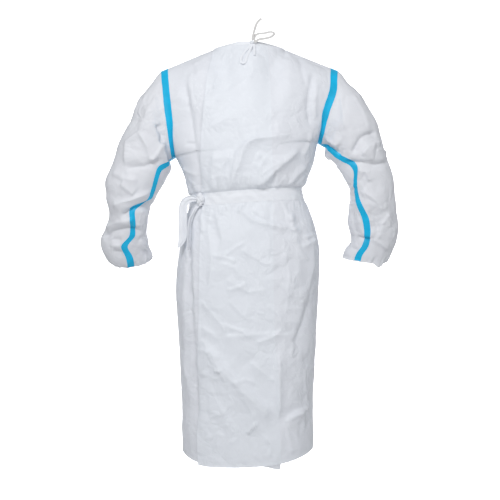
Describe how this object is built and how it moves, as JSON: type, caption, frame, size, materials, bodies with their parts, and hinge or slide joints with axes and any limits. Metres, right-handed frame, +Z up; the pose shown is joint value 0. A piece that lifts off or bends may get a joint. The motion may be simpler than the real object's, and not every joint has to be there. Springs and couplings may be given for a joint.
{
  "type": "surgical gown",
  "caption": "Long-sleeved wrap-over surgical gown, filled out as worn, with waist belt, neck ties and blue heat-sealed seam tape.",
  "frame": {"origin": "base of the neck, on the gown's middle line, where the wearer's neck and shoulders hold it", "axes": "+Z up, -Y towards the gown's wrap-over back, +X towards the wearer's right"},
  "size_m": [0.9033, 0.3106, 1.3063],
  "materials": {
    "gown_cloth": "white spunbonded polypropylene with a thin film coat, satin",
    "belt_cloth": "the same cloth, folded and welded",
    "tie_cloth": "the same cloth, as a narrow folded strip",
    "seam_tape": "cyan heat-sealed film tape, smooth satin"
  },
  "bodies": {
    "root": {"front_panel": "gown_cloth", "back_panel_under": "gown_cloth", "back_panel_over": "gown_cloth", "sleeve_left": "gown_cloth", "sleeve_right": "gown_cloth", "armhole_tape_left": "seam_tape", "armhole_tape_right": "seam_tape", "sleeve_tape_left": "seam_tape", "sleeve_tape_right": "seam_tape", "neck_binding": "tie_cloth", "neck_knot": "tie_cloth", "neck_tie_end": "tie_cloth", "neck_tie_loop": "tie_cloth", "neck_tie_hanging": "tie_cloth", "neck_tie_tail": "tie_cloth", "belt": "belt_cloth", "belt_knot": "belt_cloth", "belt_tail_outer": "belt_cloth", "belt_tail_inner": "belt_cloth"}
  },
  "joints": []
}
